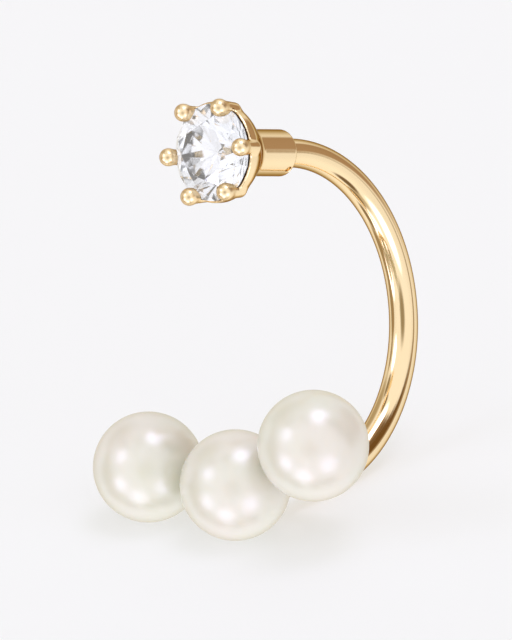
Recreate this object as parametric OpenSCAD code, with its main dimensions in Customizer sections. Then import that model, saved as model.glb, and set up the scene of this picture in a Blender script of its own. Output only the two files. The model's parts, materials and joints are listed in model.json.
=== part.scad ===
// Ear jacket earring: a claw-set brilliant in front of the ear lobe, a round gold wire that
// bends behind the lobe, and three pearls in a row under it, carried by a bar on the wire's end.
// The pieces are drawn as they are worn: the head's axis is level and runs back along +Y, +Z is
// up, and the point y = 0 of that axis is level with the tips of the claws. The whole earring is
// then set down on two of its pearls and the lowest bend of its wire, as it stands by itself.

/* [Stone] */
// Diameter of the brilliant at its girdle
stone_d = 3.5; // [3:0.1:3.6]
// Width of the table, as a share of the diameter
table_share = 0.57; // [0.53:0.01:0.62]
// Slope of the kite facets of the crown, in degrees
crown_angle = 34; // [30:1:36]
// Slope of the main facets under the girdle, in degrees
pavilion_angle = 41; // [40:0.5:42]

/* [Setting] */
// Outer diameter of the cup that holds the stone
cup_d = 3.64; // [3.6:0.02:3.8]
// Depth of the cup's front edge behind the claw tips
rim_y = 0.5; // [0.47:0.01:0.55]
// Depth at which the cup's wall starts to close
shoulder_y = 0.8; // [0.7:0.05:0.9]
// Depth at which the cup meets the collar
neck_y = 2.1; // [2.05:0.05:2.3]
// Distance of the claw tips from the head's axis
claw_ring_r = 1.78; // [1.74:0.01:1.84]
// Thickness of a claw
claw_d = 0.46; // [0.4:0.02:0.5]
// Diameter of the bead at a claw's tip
bead_d = 0.58; // [0.54:0.02:0.64]
// Turn of the ring of claws about the head's axis, in degrees
claw_turn = 5.6; // [0:0.1:30]

/* [Collar] */
// Outer diameter of the collar behind the cup
collar_d = 1.74; // [1.6:0.02:2]
// Depth of the collar's back end
collar_back_y = 4; // [3.8:0.1:4.2]
// Bevel of the collar's back edge
collar_bevel = 0.08; // [0.04:0.02:0.12]
// Depth of the bottom of the collar's bore
bore_end_y = 2.35; // [2.3:0.05:2.6]
// Radial clearance between the wire and the collar's bore
fit_gap = 0.03; // [0.02:0.01:0.05]

/* [Wire] */
// Thickness of the ear wire
wire_d = 1.05; // [0.9:0.05:1.15]
// Depth at which the wire starts to bend
bend_start_y = 4.55; // [4.3:0.05:4.8]
// Radius of the upper bend, along the middle of the wire
upper_bend_r = 6.2; // [5.8:0.1:6.6]
// Radius of the lower bend, along the middle of the wire
lower_bend_r = 5.73; // [5.5:0.01:6]

/* [Pearls] */
// Diameter of a pearl
pearl_d = 4; // [3.6:0.1:4.1]
// Gap between neighbouring pearls
pearl_gap = 0.04; // [0.02:0.01:0.1]
// Depth of the left pearl's middle behind the claw tips
left_pearl_y = 1.41; // [1.2:0.01:1.8]
// Depth of the middle pearl's middle behind the claw tips
middle_pearl_y = 1.66; // [1.4:0.01:1.8]
// Depth of the right pearl's middle behind the claw tips
right_pearl_y = 1.63; // [1.4:0.01:1.8]
// Rise of the left pearl over the middle one
left_rise = 0.63; // [0.4:0.01:0.9]
// Rise of the right pearl over the middle one
right_rise = 1.43; // [1.2:0.01:1.6]

/* [Pearl bar] */
// Thickness of the bar behind the pearls
bar_d = 0.8; // [0.7:0.05:0.9]
// Drop of the bar's middle below the middles of the pearls
bar_drop = 0.44; // [0.36:0.02:0.5]
// Thickness of the pegs in the pearls
peg_d = 0.7; // [0.6:0.05:0.8]
// Length of a peg inside its pearl
peg_grip = 1.4; // [1.2:0.1:1.6]

/* [Hidden] */
$fn = 96;

gold = [0.87, 0.68, 0.42];
nacre = [0.95, 0.93, 0.89];
crystal = [0.9, 0.94, 0.97];

overlap = 0.02;       // how far soldered shapes run into each other
overrun = 0.5;        // how far a drill starts outside what it cuts

// The stone
stone_r = stone_d / 2;
stone_sides = 8;           // how many times the pattern of its facets repeats
girdle_t = 0.06;
girdle_lead = 0.08;        // how far the girdle is in front of the cup's edge
girdle_y = rim_y - girdle_lead;
table_r = stone_r * table_share;
crown_h = (stone_r - table_r) * tan(crown_angle);
pavilion_h = stone_r * tan(pavilion_angle);
table_y = girdle_y - girdle_t / 2 - crown_h;
culet_y = girdle_y + girdle_t / 2 + pavilion_h;
star_share = 0.5;          // how far a star facet reaches from the table to the girdle
lower_half_share = 0.77;   // how far the lower girdle facets reach from the girdle to the culet
stone_gap = 0.03;          // between the stone and the metal that holds it

// The cup: straight behind its front edge, then closing to the collar
cup_r = cup_d / 2;
collar_r = collar_d / 2;
rim_bevel = 0.03;
roundness = 1.4;           // 1 would close the cup in a straight line
function wall_r(share) = collar_r + (cup_r - collar_r) * (1 - pow(share, roundness));

// A claw: a finger beside the stone, an elbow at the shoulder and a root inside the cup's wall
claw_count = 6;
elbow_lean = 0.05;         // how much closer to the axis a claw is at its elbow
elbow_lag = 0.05;          // depth of an elbow behind the shoulder
root_r = 1.1;
root_y = 1.3;

// The wire, and its tenon in the collar
wire_r = wire_d / 2;
bore_r = wire_r + fit_gap;
tenon_gap = 0.05;          // between the end of the tenon and the bottom of the bore
tenon_y = bore_end_y + tenon_gap;
wire_low_z = -(upper_bend_r + lower_bend_r);
lower_bend_y = bend_start_y + upper_bend_r - lower_bend_r;
wire_low_end = [0, lower_bend_y, wire_low_z];

// Middles of the pearls, from the gap between neighbours and the rise of each outer one
pearl_r = pearl_d / 2;
pitch = pearl_d + pearl_gap;
function reach(rise, depth) = sqrt(pitch * pitch - rise * rise - depth * depth);
left_at = [-reach(left_rise, middle_pearl_y - left_pearl_y), left_pearl_y,
    wire_low_z + left_rise];
middle_at = [0, middle_pearl_y, wire_low_z];
right_at = [reach(right_rise, middle_pearl_y - right_pearl_y), right_pearl_y,
    wire_low_z + right_rise];

// The bar behind the pearls, its ends a little short of the outer pearls' middles
bar_r = bar_d / 2;
peg_r = peg_d / 2;
hole_r = peg_r + fit_gap;
hole_room = 0.1;           // between the end of a peg and the bottom of its hole
bar_gap = 0.05;            // between the bar and the pearls
wire_gap = 0.04;           // between the wire's end and the middle pearl
bar_offset = [0, pearl_r + bar_r + bar_gap, -bar_drop];
bar_middle = middle_at + bar_offset;
bar_reach = 0.92;          // length of each half of the bar, as a share of the pearls' distance
function bar_end(pearl) = bar_middle + bar_reach * (pearl - middle_at);
wire_end_y = middle_pearl_y + pearl_r + wire_gap;

// Vectors
function unit(v) = v / norm(v);

// The plane that touches three balls from below, as its upward normal
function plane_up(a, b, c, ra, rb, rc) = let (
    u = b - a, v = c - a, k = cross(u, v),
    ku = rb - ra, kv = rc - ra,
    det = (u * u) * (v * v) - (u * v) * (u * v),
    p = (ku * (v * v) - kv * (u * v)) / det,
    q = (kv * (u * u) - ku * (u * v)) / det,
    flat = p * u + q * v,
    n = flat + k * sqrt((1 - flat * flat) / (k * k)),
    m = flat - k * sqrt((1 - flat * flat) / (k * k))
) n[2] > m[2] ? n : m;

// The middle of the wire along its upper bend, and at an angle round its lower bend, which is
// 90 degrees at the back and 180 at the bottom
function high_wire(angle) = [0, bend_start_y + upper_bend_r * sin(angle),
    upper_bend_r * (cos(angle) - 1)];
function low_wire(angle) = [0, lower_bend_y + lower_bend_r * sin(angle),
    -upper_bend_r + lower_bend_r * cos(angle)];

// The way up when it stands: on the left and middle pearls and the wire, where the wire's
// bend runs level, found in a few steps
function up_on(angle) = plane_up(left_at, middle_at, low_wire(angle), pearl_r, pearl_r, wire_r);
function stands(angle, steps) = steps == 0 ? up_on(angle)
    : let (up = up_on(angle)) stands(180 + atan(up[1] / up[2]), steps - 1);
up = stands(angle = 150, steps = 6);
back = unit([0, 1, 0] - up[1] * up);
across = cross(back, up);
function set_down(p) = [across * p, back * p, up * p];

// Balls that touch every side of the earring, each a middle and a radius
function claw_at(k, r, y) = let (angle = claw_turn + 360 / claw_count * k)
    [r * cos(angle), y, r * sin(angle)];
bend_angles = [0:3:90];
balls = concat(
    [[left_at, pearl_r], [middle_at, pearl_r], [right_at, pearl_r]],
    [for (k = [0:claw_count - 1]) [claw_at(k, claw_ring_r, 0), bead_d / 2]],
    [for (angle = bend_angles) [high_wire(angle), wire_r]],
    [for (angle = bend_angles) [low_wire(90 + angle), wire_r]]
);
lows = [for (axis = [0:2]) min([for (b = balls) set_down(b[0])[axis] - b[1]])];
highs = [for (axis = [0:2]) max([for (b = balls) set_down(b[0])[axis] + b[1]])];
base = [(lows[0] + highs[0]) / 2, (lows[1] + highs[1]) / 2, lows[2]];

// Turns the worn earring to the way it stands, with the middle of its foot at the origin
module standing() {
    multmatrix([
        [across[0], across[1], across[2], -base[0]],
        [back[0], back[1], back[2], -base[1]],
        [up[0], up[1], up[2], -base[2]],
        [0, 0, 0, 1]
    ]) children();
}

// Lays a shape drawn about +Z along the head's axis, so that its +Z runs back
module on_head_axis() {
    rotate([-90, 0, 0]) children();
}

// A round rod between two points
module rod(from, to, r) {
    way = to - from;
    translate(from)
        rotate([0, acos(way[2] / norm(way)), atan2(way[1], way[0])])
            cylinder(r = r, h = norm(way));
}

// Half section of the cup and collar: distance from the axis, then depth
module cup_section() {
    polygon(concat(
        [[0, rim_y], [cup_r - rim_bevel, rim_y], [cup_r, rim_y + rim_bevel]],
        [for (share = [0:0.125:1])
            [wall_r(share), shoulder_y + share * (neck_y - shoulder_y)]],
        [[collar_r, collar_back_y - collar_bevel],
            [collar_r - collar_bevel, collar_back_y], [0, collar_back_y]]
    ));
}

// Half section of the room that the stone needs, open to the front
module stone_room_section() {
    room_r = stone_r + stone_gap;
    mouth_r = table_r + stone_gap;
    mouth_y = table_y - crown_h;
    polygon([
        [0, culet_y + stone_gap],
        [room_r, girdle_y + girdle_t / 2 + stone_gap],
        [room_r, girdle_y - girdle_t / 2 - stone_gap],
        [mouth_r, table_y - stone_gap], [mouth_r, mouth_y], [0, mouth_y]
    ]);
}

// One claw: a bead over the stone's edge, a finger beside it and an elbow into the cup
module claw(k) {
    tip = claw_at(k, claw_ring_r, 0);
    elbow = claw_at(k, claw_ring_r - elbow_lean, shoulder_y + elbow_lag);
    root = claw_at(k, root_r, root_y);
    translate(tip) sphere(d = bead_d);
    rod(tip, elbow, claw_d / 2);
    translate(elbow) sphere(d = claw_d + overlap);
    rod(elbow, root, claw_d / 2);
}

// The cup, its six claws and the collar, soldered into one, bored for the wire
module setting() {
    color(gold) standing() difference() {
        union() {
            on_head_axis() rotate_extrude() cup_section();
            for (k = [0:claw_count - 1]) claw(k);
        }
        on_head_axis() rotate_extrude() stone_room_section();
        on_head_axis() translate([0, 0, bore_end_y]) cylinder(r = bore_r, h = collar_back_y);
    }
}

// Corners of the brilliant: one ring of them at a radius and a depth, a whole or half step on
stone_step = 360 / stone_sides;
function ring(r, y, turn) = [for (k = [0:stone_sides - 1])
    [r * cos(stone_step * k + turn), r * sin(stone_step * k + turn), y]];
// Depth of the crown's kites and of the pavilion's mains in the middle of each, at a radius
function kite_y(r) = girdle_y - girdle_t / 2
    - crown_h * (stone_r - r * cos(stone_step / 2)) / (stone_r - table_r);
function main_y(r) = culet_y - pavilion_h * r * cos(stone_step / 2) / stone_r;

// The round brilliant: a table, 8 stars, 8 kites, 16 upper and 16 lower girdle facets, 8 mains
module stone() {
    half = stone_step / 2;
    star_r = table_r + (stone_r - table_r) * star_share;
    lower_r = stone_r * (1 - lower_half_share);
    points = concat(
        ring(table_r, table_y, 0),
        ring(star_r, kite_y(star_r), half),
        ring(stone_r, girdle_y - girdle_t / 2, 0),
        ring(stone_r, girdle_y - girdle_t / 2, half),
        ring(stone_r, girdle_y + girdle_t / 2, 0),
        ring(stone_r, girdle_y + girdle_t / 2, half),
        ring(lower_r, main_y(lower_r), half),
        [[0, 0, culet_y]]
    );
    star = stone_sides;
    top = 2 * stone_sides;
    top_half = 3 * stone_sides;
    low = 4 * stone_sides;
    low_half = 5 * stone_sides;
    lower = 6 * stone_sides;
    culet = 7 * stone_sides;
    sides = [0:stone_sides - 1];
    function next(k) = (k + 1) % stone_sides;
    function last(k) = (k + stone_sides - 1) % stone_sides;
    faces = concat(
        [[for (k = sides) k]],
        [for (k = sides) [next(k), k, star + k]],
        [for (k = sides) [k, star + last(k), top + k, star + k]],
        [for (k = sides) [star + k, top + k, top_half + k]],
        [for (k = sides) [star + k, top_half + k, top + next(k)]],
        [for (k = sides) [top + k, low + k, low_half + k, top_half + k]],
        [for (k = sides) [top_half + k, low_half + k, low + next(k), top + next(k)]],
        [for (k = sides) [low + k, lower + k, low_half + k]],
        [for (k = sides) [low_half + k, lower + k, low + next(k)]],
        [for (k = sides) [low + k, lower + last(k), culet, lower + k]]
    );
    color(crystal) standing() on_head_axis() rotate([0, 0, -claw_turn]) polyhedron(points, faces);
}

// A peg from inside the metal into a pearl, on the line to the pearl's middle
module peg(from, pearl) {
    way = unit(pearl - from);
    rod(from, pearl - way * (pearl_r - peg_grip), peg_r);
}

// A quarter bend in the plane x = 0 about a middle, from one angle to 90 degrees further on
module quarter_bend(middle_y, middle_z, r, from) {
    translate([0, middle_y, middle_z]) rotate([0, 90, 0]) rotate([0, 0, 90 - from])
        rotate_extrude(angle = 90) translate([r, 0]) circle(r = wire_r);
}

// The ear wire with the bar behind the pearls and their pegs, soldered into one
module ear_wire() {
    color(gold) standing() {
        rod([0, tenon_y, 0], [0, bend_start_y, 0], wire_r);
        quarter_bend(bend_start_y, -upper_bend_r, upper_bend_r, 0);
        quarter_bend(lower_bend_y, -upper_bend_r, lower_bend_r, 90);
        rod(wire_low_end, [0, wire_end_y, wire_low_z], wire_r);
        peg(wire_low_end, middle_at);
        for (pearl = [left_at, right_at]) {
            rod(bar_middle, bar_end(pearl), bar_r);
            translate(bar_end(pearl)) sphere(r = bar_r + overlap);
            peg(bar_end(pearl), pearl);
        }
        translate(bar_middle) sphere(r = bar_r + overlap);
    }
}

// One pearl, half drilled from behind along the line of its peg
module pearl(at, from) {
    way = unit(at - from);
    color(nacre) standing() difference() {
        translate(at) sphere(r = pearl_r);
        rod(at - way * (pearl_r + overrun), at - way * (pearl_r - peg_grip - hole_room), hole_r);
    }
}

module pearl_left() {
    pearl(left_at, bar_end(left_at));
}

module pearl_middle() {
    pearl(middle_at, wire_low_end);
}

module pearl_right() {
    pearl(right_at, bar_end(right_at));
}

setting();
stone();
ear_wire();
pearl_left();
pearl_middle();
pearl_right();
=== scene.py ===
# Looks of an ear jacket earring: a claw-set brilliant in a gold head, a round gold ear wire
# and three pearls on a bar. Shapes are drawn in millimetres in the worn frame, whose origin is
# on the head's axis level with the claw tips, +x right, +y back along the axis, +z up.
import json
import math
import bpy
import numpy as np
from mathutils import Matrix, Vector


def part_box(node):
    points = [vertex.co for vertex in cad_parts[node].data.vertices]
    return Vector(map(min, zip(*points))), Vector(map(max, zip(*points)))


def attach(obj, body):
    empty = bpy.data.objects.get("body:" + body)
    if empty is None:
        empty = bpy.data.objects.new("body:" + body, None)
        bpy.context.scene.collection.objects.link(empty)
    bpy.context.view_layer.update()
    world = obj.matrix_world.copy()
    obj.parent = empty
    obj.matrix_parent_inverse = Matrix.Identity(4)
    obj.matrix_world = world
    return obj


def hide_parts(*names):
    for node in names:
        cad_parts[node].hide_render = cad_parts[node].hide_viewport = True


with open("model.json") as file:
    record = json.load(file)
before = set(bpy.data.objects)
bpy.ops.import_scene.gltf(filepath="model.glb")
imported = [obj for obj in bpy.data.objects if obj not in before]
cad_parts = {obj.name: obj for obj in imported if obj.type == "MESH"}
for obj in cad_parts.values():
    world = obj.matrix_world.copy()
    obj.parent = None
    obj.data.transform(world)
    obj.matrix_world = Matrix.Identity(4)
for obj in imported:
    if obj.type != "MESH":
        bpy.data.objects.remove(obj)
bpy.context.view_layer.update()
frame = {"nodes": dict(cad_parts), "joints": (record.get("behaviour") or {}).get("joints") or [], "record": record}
print("frame loaded")

mm = 0.001
piercingDepth = 4.3                 # the ear piercing is this far behind the claw tips


# Middle of a CAD node's box
def boxMiddle(node):
    low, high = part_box(node)
    return np.array((low + high) / 2)


# The worn frame in the row frame: back is against the head's slide, up is away from the middle
# pearl and square to back, right completes the three
backWay = -np.array(frame["joints"][0]["axis"])
headPoint = np.array(frame["record"]["mounts"][0]["pos_m"]) - piercingDepth * mm * backWay
toPearl = boxMiddle("pearl_middle") - headPoint
upWay = (toPearl @ backWay) * backWay - toPearl
upWay /= np.linalg.norm(upWay)
rightWay = np.cross(backWay, upWay)
wornAxes = np.array([rightWay, backWay, upWay])


# Row point = head point + worn millimetres along the three worn axes
def toRow(points):
    return headPoint + (np.asarray(points) @ wornAxes) * mm


# Worn millimetres = row point less the head point, along each worn axis
def toWorn(point):
    return wornAxes @ (point - headPoint) / mm


# A vector's way, as a vector of length 1
def unit(vector):
    return vector / np.linalg.norm(vector)


# Finishes a piece: its mesh is put in the row frame, smoothed, given its material and its body,
# and the CAD node it stands for is hidden
def finishPiece(name, corners, faces, material, body, node, smooth=True):
    mesh = bpy.data.meshes.new(name)
    mesh.from_pydata(toRow(corners).tolist(), [], faces)
    mesh.polygons.foreach_set("use_smooth", np.full(len(mesh.polygons), smooth))
    mesh.materials.append(material)
    mesh.update()
    piece = bpy.data.objects.new(name, mesh)
    bpy.context.scene.collection.objects.link(piece)
    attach(piece, body)
    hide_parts(node)
    print(name, len(mesh.polygons), "faces")
    return piece


# Fields: the distance of each point from a shape's surface, less than 0 inside it

# Two shapes soldered: the lesser distance, rounded off where the two differ by less than width
def soldered(a, b, width):
    share = np.clip(0.5 + 0.5 * (b - a) / width, 0, 1)
    return b + (a - b) * share - width * share * (1 - share)


# One shape cut out of another, the new edge rounded off over width
def cutAway(a, b, width):
    return -soldered(-a, b, width)


# A finger between two ends: distance from the line between them, less a radius that goes
# evenly from one end's to the other's
def fingerField(points, start, end, startRadius, endRadius):
    way = end - start
    share = np.clip((points - start) @ way / (way @ way), 0, 1)
    off = np.linalg.norm(points - start - share[:, None] * way, axis=1)
    return off - startRadius - (endRadius - startRadius) * share


# The corner of two faces at right angles, from the distances of each, which start one edge
# further in: the greater one inside, the corner's distance outside, less the edge
def roundedCorner(a, b, edge):
    return np.minimum(np.maximum(a, b), 0) + np.hypot(np.maximum(a, 0), np.maximum(b, 0)) - edge


# A round rod with flat ends: how far outside its length and its radius, edges rounded
def rodField(points, start, end, radius, edge):
    length = np.linalg.norm(end - start)
    way = (end - start) / length
    along = (points - start) @ way
    off = np.linalg.norm(points - start - along[:, None] * way, axis=1)
    past = np.abs(along - length / 2) - length / 2 + edge
    return roundedCorner(past, off - radius + edge, edge)


taperPower = 8                      # the higher, the later along a bend its radius changes


# A quarter bend in the plane x = 0: distance from the nearest point of its arc, whose angle
# is 0 at the top and 90 degrees at the back, less the wire's radius. The radius goes from one
# end's to the other's with a power of the way along the bend.
def bendField(points, middle, bendRadius, startRadius, endRadius, fromAngle):
    angle = np.arctan2(points[:, 1] - middle[1], points[:, 2] - middle[2]) % (2 * math.pi)
    angle = np.clip(angle, fromAngle, fromAngle + math.pi / 2)
    nearest = np.stack([0 * angle, np.sin(angle), np.cos(angle)], 1) * bendRadius + middle
    share = (angle - fromAngle) / (math.pi / 2)
    radius = startRadius + (endRadius - startRadius) * share ** taperPower
    return np.linalg.norm(points - nearest, axis=1) - radius


# A closed outline of distance from an axis and depth: how far the nearest edge is, less than 0
# where a line away from the axis crosses an odd number of edges
def outlineField(off, depth, outline):
    nearest = np.full(off.shape, np.inf)
    inside = np.zeros(off.shape, bool)
    for (off0, depth0), (off1, depth1) in zip(outline, np.roll(outline, -1, 0)):
        offRun, depthRun = off1 - off0, depth1 - depth0
        share = ((off - off0) * offRun + (depth - depth0) * depthRun) / (
            offRun ** 2 + depthRun ** 2)
        share = np.clip(share, 0, 1)
        nearest = np.minimum(nearest, (off - off0 - share * offRun) ** 2
                             + (depth - depth0 - share * depthRun) ** 2)
        if depthRun:
            crosses = (depth0 > depth) != (depth1 > depth)
            inside ^= crosses & (off < off0 + (depth - depth0) * offRun / depthRun)
    return np.where(inside, -1, 1) * np.sqrt(nearest)


netChoices = {
    "scale": 1,    # coarser metal while looks are tried
    "slack": 0.1,                       # most that solder or an edge's rounding moves a surface
    "blockSide": 4,                     # cells along a block's side
    "slopeStep": 0.05,                  # in pitches, to either side, for a field's slope
    "rounds": 4,                        # how often each corner is moved towards the surface
}


# The surface of a field as a net: one corner in each cell that the surface crosses, at the mean
# of the crossings on the cell's edges, and one quad round each crossed edge. Each corner is then
# moved along the field's slope until its distance is 0. The field is worked out first in the
# middle of each block of cells, and then at every spot of the blocks near the surface.
def netOfField(field, low, high, pitch):
    side = netChoices["blockSide"]
    blocks = [np.arange(a, b, side * pitch) for a, b in zip(low, high)]
    spots = np.stack(np.meshgrid(*[(row[:, None] + np.arange(side) * pitch).ravel()
                                   for row in blocks], indexing="ij"), -1)
    middles = np.stack(np.meshgrid(*blocks, indexing="ij"), -1) + (side - 1) / 2 * pitch
    depth = field(middles.reshape(-1, 3)).reshape(middles.shape[:3])
    near = np.abs(depth) < side * pitch + netChoices["slack"]
    for axis in range(3):
        depth, near = np.repeat(depth, side, axis), np.repeat(near, side, axis)
    depth[near] = field(spots[near])
    cells = np.array(depth.shape) - 1
    total = np.zeros((*cells, 3))
    hits = np.zeros(cells)
    crossings = []
    for axis in range(3):
        one, two = [(axis + turn) % 3 for turn in (1, 2)]
        first = [slice(None)] * 3
        second = [slice(None)] * 3
        first[axis], second[axis] = slice(None, -1), slice(1, None)
        a, b = depth[tuple(first)], depth[tuple(second)]
        crossed = (a < 0) != (b < 0)
        crossings.append((axis, one, two, crossed, a < 0))
        share = np.where(crossed, a / np.where(crossed, a - b, 1), 0)
        point = spots[tuple(first)] + share[..., None] * pitch * np.eye(3)[axis]
        point *= crossed[..., None]
        for back in (0, 1):
            for up in (0, 1):
                part = [slice(None)] * 3
                part[one] = slice(back, back + cells[one])
                part[two] = slice(up, up + cells[two])
                total += point[tuple(part)]
                hits += crossed[tuple(part)]
    number = np.full(cells, -1)
    number[hits > 0] = np.arange((hits > 0).sum())
    corners = total[hits > 0] / hits[hits > 0][:, None]
    quads = []
    for axis, one, two, crossed, insideFirst in crossings:
        at = np.argwhere(crossed)
        leaves = insideFirst[tuple(at.T)]
        ring = []
        for stepOne, stepTwo in ((0, 0), (1, 0), (1, 1), (0, 1)):
            cell = at.copy()
            cell[:, one] -= stepOne
            cell[:, two] -= stepTwo
            ring.append(number[tuple(cell.T)])
        ring = np.stack(ring, 1)
        quads.append(np.where(leaves[:, None], ring, ring[:, ::-1]))
    step = pitch * netChoices["slopeStep"]
    for _ in range(netChoices["rounds"]):
        distance = field(corners)
        slope = np.stack([(field(corners + way) - field(corners - way)) / (2 * step)
                          for way in np.eye(3) * step], 1)
        corners = corners - slope * (distance / (slope ** 2).sum(1))[:, None]
    return corners, np.concatenate(quads).tolist()


# A profile of (radius, height) turned about the third axis: corner = (radius cos a, radius
# sin a, height). Both ends of the profile are poles, one corner each, closed by fans.
def turned(profile, turns):
    angle = np.arange(turns) * 2 * math.pi / turns
    rings = profile[1:-1]
    corners = np.stack([rings[:, :1] * np.cos(angle), rings[:, :1] * np.sin(angle),
                        rings[:, 1:] + 0 * angle], -1).reshape(-1, 3)
    corners = np.vstack([corners, [0, 0, profile[0, 1]], [0, 0, profile[-1, 1]]])
    here = np.arange(turns)
    after = (here + 1) % turns
    rows = np.arange(len(rings) - 1)[:, None] * turns
    quads = np.stack([rows + here, rows + after, rows + turns + after, rows + turns + here], -1)
    top, bottom = len(corners) - 2, len(corners) - 1
    lastRow = (len(rings) - 1) * turns
    fans = [[top, b, a] for a, b in zip(here.tolist(), after.tolist())]
    fans += [[bottom, lastRow + a, lastRow + b] for a, b in zip(here.tolist(), after.tolist())]
    return corners, quads.reshape(-1, 4).tolist() + fans


# Nodes

# A node with its fixed choices and the values of its inputs
def addNode(tree, kind, choices=(), **inputs):
    node = tree.nodes.new(kind)
    for name, value in dict(choices).items():
        setattr(node, name, value)
    for name, value in inputs.items():
        node.inputs[name.replace("_", " ")].default_value = value
    return node


mixFirst, mixSecond, mixBlend = 6, 7, 2     # a colour Mix node's two colours and its result

marksFinish = {
    "cloudScale": 420.0, "cloudDetail": 4.0, "cloudMean": 0.5,
    "markDetail": 3.0, "markRoughness": 0.6, "markHeight": 0.00001,
}


# Polishing marks: a broad cloud that changes the roughness, and fine marks for the normal.
# Roughness out = roughness in + spread times how far the cloud is from its mean.
def makePolishMarks():
    group = bpy.data.node_groups.new("polishMarks", "ShaderNodeTree")
    for name, value in (("Roughness", 0.1), ("Spread", 0.04), ("Mark Size", 3000.0),
                        ("Depth", 0.1)):
        group.interface.new_socket(name, in_out="INPUT",
                                   socket_type="NodeSocketFloat").default_value = value
    group.interface.new_socket("Roughness", in_out="OUTPUT", socket_type="NodeSocketFloat")
    group.interface.new_socket("Cloud", in_out="OUTPUT", socket_type="NodeSocketFloat")
    group.interface.new_socket("Normal", in_out="OUTPUT", socket_type="NodeSocketVector")
    given = group.nodes.new("NodeGroupInput")
    out = group.nodes.new("NodeGroupOutput")
    place = addNode(group, "ShaderNodeTexCoord")
    cloud = addNode(group, "ShaderNodeTexNoise", Scale=marksFinish["cloudScale"],
                    Detail=marksFinish["cloudDetail"])
    spread = addNode(group, "ShaderNodeMath", {"operation": "MULTIPLY_ADD"})
    shifted = addNode(group, "ShaderNodeMath", {"operation": "SUBTRACT"})
    shifted.inputs[1].default_value = marksFinish["cloudMean"]
    marks = addNode(group, "ShaderNodeTexNoise", Detail=marksFinish["markDetail"],
                    Roughness=marksFinish["markRoughness"])
    bump = addNode(group, "ShaderNodeBump", Distance=marksFinish["markHeight"])
    link = group.links.new
    link(place.outputs["Object"], cloud.inputs["Vector"])
    link(place.outputs["Object"], marks.inputs["Vector"])
    link(given.outputs["Mark Size"], marks.inputs["Scale"])
    link(cloud.outputs["Fac"], shifted.inputs[0])
    link(shifted.outputs[0], spread.inputs[0])
    link(given.outputs["Spread"], spread.inputs[1])
    link(given.outputs["Roughness"], spread.inputs[2])
    link(marks.outputs["Fac"], bump.inputs["Height"])
    link(given.outputs["Depth"], bump.inputs["Strength"])
    link(spread.outputs[0], out.inputs["Roughness"])
    link(cloud.outputs["Fac"], out.inputs["Cloud"])
    link(bump.outputs["Normal"], out.inputs["Normal"])
    return group


polishMarks = makePolishMarks()


# A new material with its Principled shader, and the polish marks placed in it
def newMaterial(name, marks, **inputs):
    material = bpy.data.materials.new(name)
    material.use_nodes = True
    tree = material.node_tree
    shader = tree.nodes["Principled BSDF"]
    for key, value in inputs.items():
        shader.inputs[key.replace("_", " ")].default_value = value
    group = addNode(tree, "ShaderNodeGroup", {"node_tree": polishMarks}, **marks)
    tree.links.new(group.outputs["Normal"], shader.inputs["Normal"])
    return material, tree, shader, group


# Polished gold plating: warm yellow, a little redder in clouds, darker at a glancing angle, and
# duller where an attribute marks the claws' tips
goldFinish = {
    "colour": (0.96, 0.775, 0.49, 1), "redder": (0.94, 0.73, 0.43, 1),
    "edgeTint": (0.42, 0.27, 0.13, 1), "tipDulling": 0.22,
    "marks": {"Roughness": 0.08, "Spread": 0.05, "Mark_Size": 5200.0, "Depth": 0.05},
}


# Gold: colour blended by the cloud, roughness = the marks' + the tips' dulling where marked
def makeGold():
    material, tree, shader, marks = newMaterial(
        "polishedGold", goldFinish["marks"], Metallic=1.0, Specular_Tint=goldFinish["edgeTint"])
    blend = addNode(tree, "ShaderNodeMix", {"data_type": "RGBA"})
    blend.inputs[mixFirst].default_value = goldFinish["colour"]
    blend.inputs[mixSecond].default_value = goldFinish["redder"]
    tree.links.new(marks.outputs["Cloud"], blend.inputs[0])
    tree.links.new(blend.outputs[mixBlend], shader.inputs["Base Color"])
    tips = addNode(tree, "ShaderNodeAttribute", {"attribute_name": "clawTip"})
    dulled = addNode(tree, "ShaderNodeMath", {"operation": "MULTIPLY_ADD"})
    dulled.inputs[1].default_value = goldFinish["tipDulling"]
    tree.links.new(tips.outputs["Fac"], dulled.inputs[0])
    tree.links.new(marks.outputs["Roughness"], dulled.inputs[2])
    tree.links.new(dulled.outputs[0], shader.inputs["Roughness"])
    return material


# Clear brilliant: polished facets, and a bruted girdle that an attribute marks
crystalFinish = {
    "index": 2.16, "girdleRoughness": 0.35,
    "marks": {"Roughness": 0.0, "Spread": 0.0, "Mark_Size": 6000.0, "Depth": 0.004},
}


# Crystal: roughness = the girdle's where the attribute is 1, and 0 elsewhere
def makeCrystal():
    material, tree, shader, marks = newMaterial(
        "clearBrilliant", crystalFinish["marks"], Base_Color=(1, 1, 1, 1),
        IOR=crystalFinish["index"], Transmission_Weight=1.0)
    bruted = addNode(tree, "ShaderNodeAttribute", {"attribute_name": "bruted"})
    rough = addNode(tree, "ShaderNodeMath", {"operation": "MULTIPLY"})
    rough.inputs[1].default_value = crystalFinish["girdleRoughness"]
    tree.links.new(bruted.outputs["Fac"], rough.inputs[0])
    tree.links.new(rough.outputs[0], shader.inputs["Roughness"])
    return material


# Silver foil behind the pavilion, as stones in closed cups have. It glows a little, in place of
# light that comes back after more bounces than are followed.
foilFinish = {
    "colour": (0.96, 0.97, 0.99, 1), "glow": 0.05,
    "marks": {"Roughness": 0.07, "Spread": 0.01, "Mark_Size": 4000.0, "Depth": 0.01},
}


# Foil: a metal whose roughness is the marks' own
def makeFoil():
    material, tree, shader, marks = newMaterial(
        "silverFoil", foilFinish["marks"], Metallic=1.0, Base_Color=foilFinish["colour"],
        Emission_Color=foilFinish["colour"], Emission_Strength=foilFinish["glow"])
    tree.links.new(marks.outputs["Roughness"], shader.inputs["Roughness"])
    return material


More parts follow.
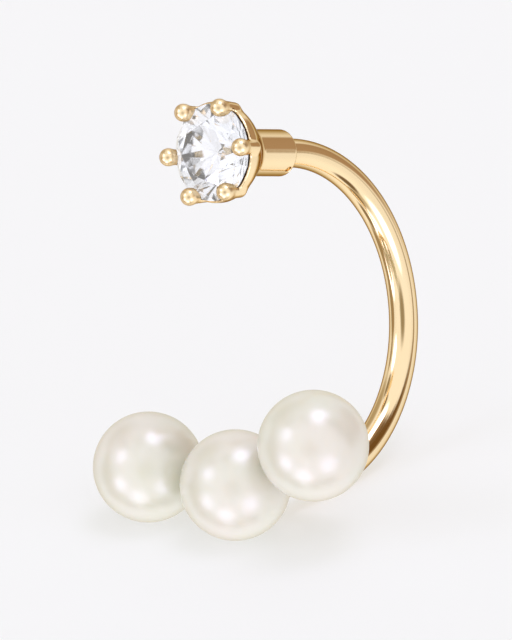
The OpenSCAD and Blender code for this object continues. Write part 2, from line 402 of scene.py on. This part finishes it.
# Nacre: creamy white with faint pink and green clouds, faint relief and a soft coat on top
nacreFinish = {
    "cream": (0.70, 0.69, 0.565, 1), "pink": (0.72, 0.69, 0.58, 1),
    "green": (0.695, 0.695, 0.555, 1),
    "cloudScale": 330.0, "cloudDetail": 2.0, "stops": (0.38, 0.5, 0.62),
    "surface": {
        "IOR": 1.75, "Specular_Tint": (0.86, 0.86, 1.0, 1), "Subsurface_Weight": 0.5,
        "Subsurface_Scale": 0.0012, "Subsurface_Radius": (1.0, 0.85, 0.7),
        "Coat_Weight": 1.0, "Coat_IOR": 1.7, "Coat_Roughness": 0.255,
    },
    "marks": {"Roughness": 0.30, "Spread": 0.10, "Mark_Size": 2200.0, "Depth": 0.06},
}


# Nacre: a cloud runs the colour from green through cream to pink
def makeNacre():
    material, tree, shader, marks = newMaterial(
        "nacre", nacreFinish["marks"], **nacreFinish["surface"])
    place = addNode(tree, "ShaderNodeTexCoord")
    cloud = addNode(tree, "ShaderNodeTexNoise", Scale=nacreFinish["cloudScale"],
                    Detail=nacreFinish["cloudDetail"])
    tree.links.new(place.outputs["Object"], cloud.inputs["Vector"])
    tint = addNode(tree, "ShaderNodeValToRGB")
    stops = tint.color_ramp.elements
    greenPlace, creamPlace, pinkPlace = nacreFinish["stops"]
    stops[0].position, stops[0].color = greenPlace, nacreFinish["green"]
    stops[1].position, stops[1].color = pinkPlace, nacreFinish["pink"]
    stops.new(creamPlace).color = nacreFinish["cream"]
    tree.links.new(cloud.outputs["Fac"], tint.inputs["Fac"])
    tree.links.new(tint.outputs["Color"], shader.inputs["Base Color"])
    tree.links.new(marks.outputs["Roughness"], shader.inputs["Roughness"])
    return material


gold, crystal, foil, nacre = makeGold(), makeCrystal(), makeFoil(), makeNacre()
print("materials made")


# The stone

stoneSizes = {
    "radius": 1.75, "tableShare": 0.57, "crownAngle": 34, "pavilionAngle": 44.5, "girdle": 0.06,
    "girdleDepth": 0.42, "starShare": 0.5, "lowerHalfShare": 0.77, "turn": 5.6,
    "arcSteps": 6,                  # straight steps of each girdle facet's curved edge
}
stoneSides = 8                      # how many times the pattern of its facets repeats
tableRadius = stoneSizes["radius"] * stoneSizes["tableShare"]
crownHeight = (stoneSizes["radius"] - tableRadius) * math.tan(
    math.radians(stoneSizes["crownAngle"]))
pavilionHeight = stoneSizes["radius"] * math.tan(math.radians(stoneSizes["pavilionAngle"]))
crownFoot = stoneSizes["girdleDepth"] - stoneSizes["girdle"] / 2
pavilionFoot = stoneSizes["girdleDepth"] + stoneSizes["girdle"] / 2
tableDepth = crownFoot - crownHeight
culetDepth = pavilionFoot + pavilionHeight


# Corners at a radius and a depth, at angles in turns of the stone's pattern
def stoneRing(radius, depth, steps):
    angle = math.radians(stoneSizes["turn"]) + steps * 2 * math.pi / stoneSides
    return np.stack([radius * np.cos(angle), depth + 0 * angle, radius * np.sin(angle)], -1)


# The curved edge of the facets beside the girdle: the plane through each facet's three corners,
# read at the girdle's radius between the facet's two outer corners
def girdleEdge(tips, footDepth):
    radius = stoneSizes["radius"]
    halves = np.arange(2 * stoneSides) / 2
    inner = tips[halves.astype(int)]
    left = stoneRing(radius, footDepth, halves)
    right = stoneRing(radius, footDepth, halves + 0.5)
    three = np.stack([inner, left, right], 1)
    sheet = np.stack([np.ones(three.shape[:2]), three[:, :, 0], three[:, :, 2]], -1)
    plane = np.linalg.solve(sheet, three[:, :, 1:2])[:, :, 0]
    share = np.arange(stoneSizes["arcSteps"]) / stoneSizes["arcSteps"]
    edge = stoneRing(radius, 0, halves[:, None] + share / 2)
    edge[..., 1] = plane[:, :1] + plane[:, 1:2] * edge[..., 0] + plane[:, 2:] * edge[..., 2]
    return edge.reshape(-1, 3)


# The brilliant: table, 8 stars, 8 kites, 16 upper girdle facets, the girdle, 16 lower girdle
# facets and 8 mains. A kite's or main's plane runs straight from the table or the culet to the
# girdle, and the stars' and the lower facets' tips lie on those planes. The foil is on every
# facet that has a lower tip or the culet as a corner.
def makeStone():
    steps = np.arange(stoneSides)
    half = math.cos(math.pi / stoneSides)
    radius = stoneSizes["radius"]
    starRadius = tableRadius + (radius - tableRadius) * stoneSizes["starShare"]
    starDepth = crownFoot - crownHeight * (radius - starRadius * half) / (radius - tableRadius)
    lowerRadius = radius * (1 - stoneSizes["lowerHalfShare"])
    lowerDepth = culetDepth - pavilionHeight * lowerRadius * half / radius
    table = stoneRing(tableRadius, tableDepth, steps)
    stars = stoneRing(starRadius, starDepth, steps + 0.5)
    lowers = stoneRing(lowerRadius, lowerDepth, steps + 0.5)
    topEdge = girdleEdge(stars, crownFoot)
    lowEdge = girdleEdge(lowers, pavilionFoot)
    corners = np.vstack([table, stars, lowers, [[0, culetDepth, 0]], topEdge, lowEdge])
    star, lower, culet = stoneSides, 2 * stoneSides, 3 * stoneSides
    top = culet + 1
    count = len(topEdge)
    low = top + count
    arc = stoneSizes["arcSteps"]
    faces = [list(range(stoneSides))]
    for k in range(stoneSides):
        after, before = (k + 1) % stoneSides, (k - 1) % stoneSides
        kite, middle = 2 * arc * k, 2 * arc * k + arc
        faces.append([k, star + k, after])
        faces.append([k, star + before, top + kite, star + k])
        faces.append([low + kite, lower + before, culet, lower + k])
        for first in (kite, middle):
            edge = [(first + step) % count for step in range(arc + 1)]
            faces.append([star + k] + [top + step for step in edge])
            faces.append([lower + k] + [low + step for step in reversed(edge)])
    girdleStart = len(faces)
    faces += [[top + k, low + k, low + (k + 1) % count, top + (k + 1) % count]
              for k in range(count)]
    stone = finishPiece("brilliant", corners, faces, crystal, "head", "stone",
                        smooth=False)
    stone.data.materials.append(foil)
    foiled = [any(lower <= corner < top for corner in face) for face in faces]
    stone.data.polygons.foreach_set("material_index", foiled)
    bruted = stone.data.attributes.new("bruted", "FLOAT", "FACE")
    bruted.data.foreach_set("value", np.arange(len(faces)) >= girdleStart)


makeStone()


# The setting

settingSizes = {
    "cupRadius": 1.82, "rimDepth": 0.5, "shoulderDepth": 0.8, "neckDepth": 2.1, "roundness": 1.4,
    "wallSteps": 15,                # corners of the cup's closing wall
    "collarRadius": 0.85, "collarEnd": 4.05, "boreRadius": 0.555, "boreDepth": 2.35,
    "clawCount": 6, "tipRadius": 1.75, "beadRadius": 0.31, "fingerRadius": 0.28,
    "elbowRadius": 1.66, "elbowDepth": 0.8, "rootRadius": 1.0, "rootDepth": 1.35,
    "edge": 0.05,                   # rounding of the cup's and the collar's edges
    "pinDepth": 3.88, "pinAngle": -46, "pinRadius": 0.115, "pinFoot": 0.62, "pinReach": 2,
    "tipDepth": 0.42, "tipBlend": 0.15,     # the dull claw tips end at this depth, over this far
    "neckSolder": 0.22, "clawSolder": 0.12, "beadSolder": 0.1,
    "stoneGap": 0.004, "seatGap": 0.06, "seatEdge": 0.03,
    "margin": 0.15, "pitch": 0.042 * netChoices["scale"],
}
pastAxis = -1                       # outlines run past the axis, so that no edge lies on it


# The cup and collar are outlines turned about the head's axis, the claws are fingers in one
# sector that stands for all six, and the stone's room, the wire's bore and the collar's small pin
# hole are cut out
def settingField(points):
    s = settingSizes
    edge = s["edge"]
    off, depth = np.hypot(points[:, 0], points[:, 2]), points[:, 1]
    share = np.linspace(0, 1, s["wallSteps"])
    wall = s["collarRadius"] + (s["cupRadius"] - s["collarRadius"]) * (
        1 - share ** s["roundness"]) - edge
    wallDepth = s["shoulderDepth"] + share * (s["neckDepth"] - s["shoulderDepth"])
    rim = s["rimDepth"] + edge
    cup = np.vstack([[pastAxis, rim], [s["cupRadius"] - edge, rim],
                     np.stack([wall, wallDepth], 1), [pastAxis, s["neckDepth"]]])
    body = outlineField(off, depth, cup) - edge
    collar = roundedCorner(
        off - s["collarRadius"] + edge, depth - s["collarEnd"] + edge, edge)
    collar = np.maximum(collar, s["shoulderDepth"] + edge - depth)
    body = soldered(body, collar, s["neckSolder"])

    sector = 2 * math.pi / s["clawCount"]
    angle = np.arctan2(points[:, 2], points[:, 0]) - math.radians(stoneSizes["turn"])
    folded = (angle + sector / 2) % sector - sector / 2
    near = np.stack([off * np.cos(folded), depth, off * np.sin(folded)], 1)
    tip = np.array([s["tipRadius"], 0, 0])
    elbow = np.array([s["elbowRadius"], s["elbowDepth"], 0])
    root = np.array([s["rootRadius"], s["rootDepth"], 0])
    finger = np.minimum(
        fingerField(near, tip, elbow, s["fingerRadius"], s["fingerRadius"]),
        fingerField(near, elbow, root, s["fingerRadius"], s["fingerRadius"]))
    bead = np.linalg.norm(near - tip, axis=1) - s["beadRadius"]
    claw = soldered(finger, bead, s["beadSolder"])
    metal = soldered(body, claw, s["clawSolder"])

    gap = s["stoneGap"]
    roomRadius = stoneSizes["radius"] + gap
    room = outlineField(off, depth, np.array([
        [pastAxis, culetDepth + s["seatGap"]], [0, culetDepth + s["seatGap"]],
        [roomRadius, pavilionFoot + s["seatGap"]],
        [roomRadius, crownFoot - gap], [tableRadius + gap, tableDepth - gap],
        [tableRadius + gap, tableDepth - crownHeight], [pastAxis, tableDepth - crownHeight]]))
    metal = cutAway(metal, room, s["seatEdge"])
    bore = np.maximum(off - s["boreRadius"], s["boreDepth"] - depth)
    metal = cutAway(metal, bore, s["seatEdge"])
    around = math.radians(s["pinAngle"])
    pinWay = np.array([math.cos(around), 0, math.sin(around)])
    pinPlace = np.array([0, s["pinDepth"], 0])
    pin = rodField(points, pinPlace + s["pinFoot"] * pinWay, pinPlace + s["pinReach"] * pinWay,
                   s["pinRadius"], s["seatEdge"])
    return cutAway(metal, pin, s["seatEdge"])


# The setting's net, and an attribute that goes from 0 to 1 over the claws' tips
def makeSetting():
    s = settingSizes
    margin = s["margin"]
    reach = s["tipRadius"] + s["beadRadius"] + margin
    corners, faces = netOfField(settingField, (-reach, -s["beadRadius"] - margin, -reach),
                                (reach, s["collarEnd"] + margin, reach), s["pitch"])
    setting = finishPiece("settingMetal", corners, faces, gold, "head", "setting")
    tips = setting.data.attributes.new("clawTip", "FLOAT", "POINT")
    tips.data.foreach_set("value", np.clip((s["tipDepth"] - corners[:, 1]) / s["tipBlend"], 0, 1))


makeSetting()


# The ear wire with its bar

pearlNodes = ("pearl_left", "pearl_middle", "pearl_right")
pearlMiddles = {node: toWorn(boxMiddle(node)) for node in pearlNodes}
wireSizes = {
    "radius": 0.525, "endRadius": 0.42, "tenonDepth": 2.4, "bendStart": 4.55, "upperBend": 6.2,
    "lowerBend": 5.73, "barRadius": 0.34, "barDrop": 0.07, "barBack": 2.45, "barReach": 0.92,
    "pegRadius": 0.35, "pegGrip": 1.4, "endGap": 0.04,
    "edge": 0.06, "barSolder": 0.3, "pegSolder": 0.2,
    "margin": 0.2, "frontMargin": 1.2,      # the net starts so far in front of the tenon
    "pitch": 0.05 * netChoices["scale"],
}
pearlRadius = 2.0
lowerBendDepth = wireSizes["bendStart"] + wireSizes["upperBend"] - wireSizes["lowerBend"]
wireLow = -wireSizes["upperBend"] - wireSizes["lowerBend"]
wireLowEnd = np.array([0, lowerBendDepth, wireLow])
barMiddle = pearlMiddles["pearl_middle"] + [0, wireSizes["barBack"], -wireSizes["barDrop"]]


# Where the metal under a pearl's peg is: the bar's end, or the wire's for the middle pearl
def pegFoot(node):
    if node == "pearl_middle":
        return wireLowEnd
    return barMiddle + wireSizes["barReach"] * (
        pearlMiddles[node] - pearlMiddles["pearl_middle"])


# The wire is a straight tenon, two quarter bends and a straight end. The bar's two halves are
# fingers, the pegs are rods, and everything is soldered with a fillet.
def wireField(points):
    w = wireSizes
    radius, edge = w["radius"], w["edge"]
    middleHeight = -w["upperBend"]
    wire = rodField(points, np.array([0, w["tenonDepth"], 0]),
                    np.array([0, w["bendStart"] + edge, 0]), radius, edge)
    wire = np.minimum(wire, bendField(points, np.array([0, w["bendStart"], middleHeight]),
                                      w["upperBend"], radius, radius, 0))
    wire = np.minimum(wire, bendField(points, np.array([0, lowerBendDepth, middleHeight]),
                                      w["lowerBend"], radius, w["endRadius"], math.pi / 2))
    endDepth = pearlMiddles["pearl_middle"][1] + pearlRadius + w["endGap"]
    wire = np.minimum(wire, rodField(points, np.array([0, endDepth, wireLow]),
                                     wireLowEnd + [0, edge, 0], w["endRadius"], edge))
    bar = np.full(len(points), np.inf)
    for node in ("pearl_left", "pearl_right"):
        bar = np.minimum(bar, fingerField(points, barMiddle, pegFoot(node),
                                          w["barRadius"], w["barRadius"]))
    metal = soldered(wire, bar, w["barSolder"])
    for node in pearlNodes:
        middle = pearlMiddles[node]
        way = unit(middle - pegFoot(node))
        peg = rodField(points, pegFoot(node), middle - way * (pearlRadius - w["pegGrip"]),
                       w["pegRadius"], edge)
        metal = soldered(metal, peg, w["pegSolder"])
    return metal


# The ear wire's net, in a box round the bends, the bar's ends and the pegs
def makeEarWire():
    w = wireSizes
    margin = w["margin"]
    ends = np.array([pegFoot(node) for node in pearlNodes] + [pearlMiddles[n] for n in pearlNodes])
    low = np.minimum(ends.min(0), [0, 0, wireLow - w["radius"]]) - w["barRadius"] - margin
    high = np.maximum(ends.max(0), [0, w["bendStart"] + w["upperBend"], 0]) + w["radius"] + margin
    low[1] = w["tenonDepth"] - w["frontMargin"]
    corners, faces = netOfField(wireField, low, high, w["pitch"])
    finishPiece("earWireMetal", corners, faces, gold, "wire_and_pearls", "ear_wire")


makeEarWire()


# The pearls

pearlShape = {
    "holeRadius": 0.38, "holeDepth": 1.5, "chamfer": 0.05, "lipShare": 0.3, "cornerCut": 0.03,
    "rings": 96, "turns": 160,
    "waviness": 0.004, "waveCount": 7, "waveNumber": 1.6, "seed": 11,
}


# A pearl: a ball turned about its drill hole, whose rim is chamfered, with faint broad waves
# that are a sum of sines along chance directions
def makePearl(name, node, order):
    s = pearlShape
    radius = pearlRadius
    rimRadius = s["holeRadius"] + s["chamfer"]
    angle = np.linspace(0, math.pi - math.asin(rimRadius / radius), s["rings"])
    ball = np.stack([radius * np.sin(angle), radius * np.cos(angle)], 1)
    rimHeight = -math.sqrt(radius ** 2 - rimRadius ** 2)
    bottom = -radius + s["holeDepth"]
    lip, cut = s["chamfer"] * s["lipShare"], s["cornerCut"]
    hole = np.array([[s["holeRadius"] + lip, rimHeight + lip],
                     [s["holeRadius"], rimHeight + s["chamfer"]],
                     [s["holeRadius"], bottom - cut], [s["holeRadius"] - cut, bottom],
                     [0, bottom]])
    corners, faces = turned(np.vstack([ball, hole]), s["turns"])
    chance = np.random.default_rng(s["seed"] + order)
    waves = chance.normal(size=(s["waveCount"], 3))
    phases = chance.uniform(0, 2 * math.pi, s["waveCount"])
    swell = np.sin(corners / radius @ waves.T * s["waveNumber"] + phases).mean(1)
    corners = corners * (1 + s["waviness"] * swell)[:, None]
    middle = pearlMiddles[node]
    back = unit(pegFoot(node) - middle)
    side = unit(np.cross(back, [0, 0, 1]))
    corners = middle + corners @ np.array([side, np.cross(-back, side), -back])
    finishPiece(name, corners, faces, nacre, "wire_and_pearls", node)


for order, node in enumerate(pearlNodes):
    makePearl(node.split("_")[1] + "Pearl", node, order)
print("pieces made")


# Camera and studio

cameraSizes = {
    "turn": 42.0,                   # degrees round from the front towards the right pearl
    "lens": 1200.0, "sensor": 36.0,
    "heightShown": 23.0,            # millimetres of height that the picture shows
    "clipStart": 0.05, "clipEnd": 40,   # shares of the camera's distance
}
turnAngle = math.radians(cameraSizes["turn"])
towardWay = np.array([math.sin(turnAngle), -math.cos(turnAngle), 0]) @ wornAxes
sideWay = np.array([math.cos(turnAngle), math.sin(turnAngle), 0]) @ wornAxes


# All corners of a CAD node's mesh
def meshCorners(node):
    spots = np.empty(3 * len(node.data.vertices), np.float32)
    node.data.vertices.foreach_get("co", spots)
    return spots.reshape(-1, 3)


# Middle of the CAD model's span along each of the camera's three ways
def pictureMiddle():
    spots = np.vstack([meshCorners(node) for node in frame["nodes"].values()])
    ways = np.array([sideWay, upWay, towardWay])
    spans = spots @ ways.T
    return (spans.min(0) + spans.max(0)) / 2 @ ways


lookedAt = pictureMiddle()
print("picture middle", (lookedAt - headPoint) @ sideWay / mm, (lookedAt - headPoint) @ upWay / mm)


# Turns a thing so that its third axis points along way and its second along up
def turnTo(thing, way, up):
    thing.rotation_mode = "QUATERNION"
    thing.rotation_quaternion = Matrix(
        np.array([np.cross(up, way), up, way]).T.tolist()).to_quaternion()


# The camera stands off by the height shown times lens over sensor
def makeCamera():
    data = bpy.data.cameras.new("camera")
    data.lens, data.sensor_width = cameraSizes["lens"], cameraSizes["sensor"]
    camera = bpy.data.objects.new("camera", data)
    bpy.context.scene.collection.objects.link(camera)
    bpy.context.scene.camera = camera
    distance = cameraSizes["heightShown"] * mm * data.lens / data.sensor_width
    camera.location = lookedAt + towardWay * distance
    turnTo(camera, towardWay, upWay)
    data.clip_start = distance * cameraSizes["clipStart"]
    data.clip_end = distance * cameraSizes["clipEnd"]


makeCamera()


# A way that is so many degrees away from the camera, at a clock angle round it, which is 0 at
# the picture's right and 90 at its top
def wayFromCamera(away, clock):
    away, clock = math.radians(away), math.radians(clock)
    return math.cos(away) * towardWay + math.sin(away) * (
        math.cos(clock) * sideWay + math.sin(clock) * upWay)


# The room round the table: white, with soft patches of light and dark round the camera's way.
# Each is full within one angle of its middle and gone beyond another, in degrees. What the
# camera sees is plain white, and what the stone lets through is almost grey and paler.
roomLight = {
    "bright": (0.98, 0.98, 1.0, 1), "seen": 0.93,
    "stoneSaturation": 0.05, "stonePale": (1.2, 1.19, 1.23, 1), "stonePaling": 0.8,
}
roomPatches = {
    "front": {"away": 10, "clock": 90, "full": 45, "gone": 82, "colour": (1.08, 1.07, 1.11, 1)},
    "below": {"away": 111, "clock": 276, "full": 40, "gone": 75, "colour": (1.12, 1.12, 1.14, 1)},
    "behind": {"away": 180, "clock": 0, "full": 24, "gone": 58, "colour": (0.70, 0.64, 0.51, 1)},
    "topLeftGap": {"away": 106, "clock": 132, "full": 12, "gone": 28,
                   "colour": (0.50, 0.42, 0.30, 1)},
    "rightGap": {"away": 106, "clock": 30, "full": 17, "gone": 27, "colour": (0.44, 0.31, 0.21, 1)},
    "leftGap": {"away": 96, "clock": 188, "full": 12, "gone": 22, "colour": (0.38, 0.29, 0.18, 1)},
    "lowLeftGap": {"away": 94, "clock": 216, "full": 14, "gone": 25,
                   "colour": (0.38, 0.29, 0.18, 1)},
    "lowGap": {"away": 79, "clock": 282, "full": 4, "gone": 14, "colour": (0.62, 0.54, 0.42, 1)},
    "bigSoftbox": {"away": 65, "clock": 77, "full": 9, "gone": 20, "colour": (4.0, 3.9, 5.0, 1)},
    "smallSoftbox": {"away": 63, "clock": 158, "full": 6, "gone": 15, "colour": (3.2, 3.15, 4.0, 1)},
    "leftReflector": {"away": 72, "clock": 212, "full": 7, "gone": 18, "colour": (2.9, 2.8, 3.5, 1)},
    "lowReflector": {"away": 69, "clock": 252, "full": 8, "gone": 20, "colour": (2.8, 2.7, 3.3, 1)},
    "rightReflector": {"away": 52, "clock": 309, "full": 8, "gone": 22, "colour": (2.7, 2.6, 3.3, 1)},
    "edge1": {"away": 89, "clock": 5, "full": 5, "gone": 11, "colour": (0.40, 0.30, 0.20, 1)},
    "edge2": {"away": 81, "clock": 15, "full": 8, "gone": 15, "colour": (0.17, 0.09, 0.03, 1)},
    "edge3": {"away": 73, "clock": 29, "full": 8, "gone": 15, "colour": (0.17, 0.09, 0.03, 1)},
    "edge4": {"away": 67, "clock": 44, "full": 7, "gone": 14, "colour": (0.20, 0.12, 0.06, 1)},
    "edge5": {"away": 62, "clock": 58, "full": 5, "gone": 12, "colour": (0.30, 0.20, 0.12, 1)},
    "inner1": {"away": 88, "clock": 296, "full": 6, "gone": 13, "colour": (0.20, 0.14, 0.08, 1)},
    "inner2": {"away": 89, "clock": 272, "full": 7, "gone": 13, "colour": (0.28, 0.21, 0.13, 1)},
    "inner3": {"away": 95, "clock": 246, "full": 7, "gone": 14, "colour": (0.30, 0.23, 0.14, 1)},
    "inner4": {"away": 97, "clock": 165, "full": 6, "gone": 13, "colour": (0.42, 0.33, 0.22, 1)},
    "inner5": {"away": 73, "clock": 137, "full": 5, "gone": 12, "colour": (0.32, 0.25, 0.15, 1)},
    "inner6": {"away": 61, "clock": 109, "full": 4, "gone": 10, "colour": (0.24, 0.18, 0.10, 1)},
    "camera": {"away": 10, "clock": 222, "full": 6, "gone": 24, "colour": (0.36, 0.31, 0.22, 1)},
}


# Each patch is blended over those before it by a smooth step of the cosine of the angle between
# its way and the ray's
def makeRoom():
    world = bpy.data.worlds.new("room")
    bpy.context.scene.world = world
    world.use_nodes = True
    tree = world.node_tree
    tree.nodes.clear()
    link = tree.links.new
    place = addNode(tree, "ShaderNodeTexCoord")
    lit = addNode(tree, "ShaderNodeBackground")
    colour = addNode(tree, "ShaderNodeRGB").outputs[0]
    colour.default_value = roomLight["bright"]
    for patch in roomPatches.values():
        facing = addNode(tree, "ShaderNodeVectorMath", {"operation": "DOT_PRODUCT"})
        facing.inputs[1].default_value = wayFromCamera(patch["away"], patch["clock"])
        level = addNode(tree, "ShaderNodeMapRange", {"interpolation_type": "SMOOTHSTEP"},
                        From_Min=math.cos(math.radians(patch["gone"])),
                        From_Max=math.cos(math.radians(patch["full"])))
        blend = addNode(tree, "ShaderNodeMix", {"data_type": "RGBA"})
        blend.inputs[mixSecond].default_value = patch["colour"]
        link(place.outputs["Generated"], facing.inputs[0])
        link(facing.outputs["Value"], level.inputs["Value"])
        link(level.outputs["Result"], blend.inputs[0])
        link(colour, blend.inputs[mixFirst])
        colour = blend.outputs[mixBlend]
    link(colour, lit.inputs["Color"])
    grey = addNode(tree, "ShaderNodeHueSaturation", Saturation=roomLight["stoneSaturation"])
    paler = addNode(tree, "ShaderNodeMix", {"data_type": "RGBA"}, Factor=roomLight["stonePaling"])
    paler.inputs[mixSecond].default_value = roomLight["stonePale"]
    greyLit = addNode(tree, "ShaderNodeBackground")
    link(colour, grey.inputs["Color"])
    link(grey.outputs["Color"], paler.inputs[mixFirst])
    link(paler.outputs[mixBlend], greyLit.inputs["Color"])
    seen = addNode(tree, "ShaderNodeBackground", Strength=roomLight["seen"])
    seen.inputs["Color"].default_value = (1, 1, 1, 1)
    path = addNode(tree, "ShaderNodeLightPath")
    stoneChoice = addNode(tree, "ShaderNodeMixShader")
    choice = addNode(tree, "ShaderNodeMixShader")
    out = addNode(tree, "ShaderNodeOutputWorld")
    link(path.outputs["Is Transmission Ray"], stoneChoice.inputs[0])
    link(lit.outputs[0], stoneChoice.inputs[1])
    link(greyLit.outputs[0], stoneChoice.inputs[2])
    link(path.outputs["Is Camera Ray"], choice.inputs[0])
    link(stoneChoice.outputs[0], choice.inputs[1])
    link(seen.outputs[0], choice.inputs[2])
    link(choice.outputs[0], out.inputs["Surface"])


makeRoom()

floorLook = {
    "half": 1.5,                    # metres from its middle to a side
    "colour": (0.36, 0.365, 0.355, 1), "roughness": 0.7, "shine": 0.2, "glow": 0.525,
}


# A plain pale light table, which glows a little
def makeFloor():
    half = floorLook["half"]
    mesh = bpy.data.meshes.new("floor")
    mesh.from_pydata([(-half, -half, 0), (half, -half, 0), (half, half, 0), (-half, half, 0)],
                     [], [(0, 1, 2, 3)])
    floor = bpy.data.objects.new("floor", mesh)
    bpy.context.scene.collection.objects.link(floor)
    material = bpy.data.materials.new("paleTable")
    material.use_nodes = True
    shader = material.node_tree.nodes["Principled BSDF"]
    shader.inputs["Base Color"].default_value = floorLook["colour"]
    shader.inputs["Roughness"].default_value = floorLook["roughness"]
    shader.inputs["Emission Color"].default_value = (1, 1, 1, 1)
    shader.inputs["Emission Strength"].default_value = floorLook["glow"]
    shader.inputs["Specular IOR Level"].default_value = floorLook["shine"]
    mesh.materials.append(material)
    floor.visible_glossy = False        # the metal and pearls are lit by the room's lower half
    floor.visible_diffuse = False
    floor.visible_shadow = False


makeFloor()
bpy.context.scene.view_settings.view_transform = "Standard"
print("studio made")
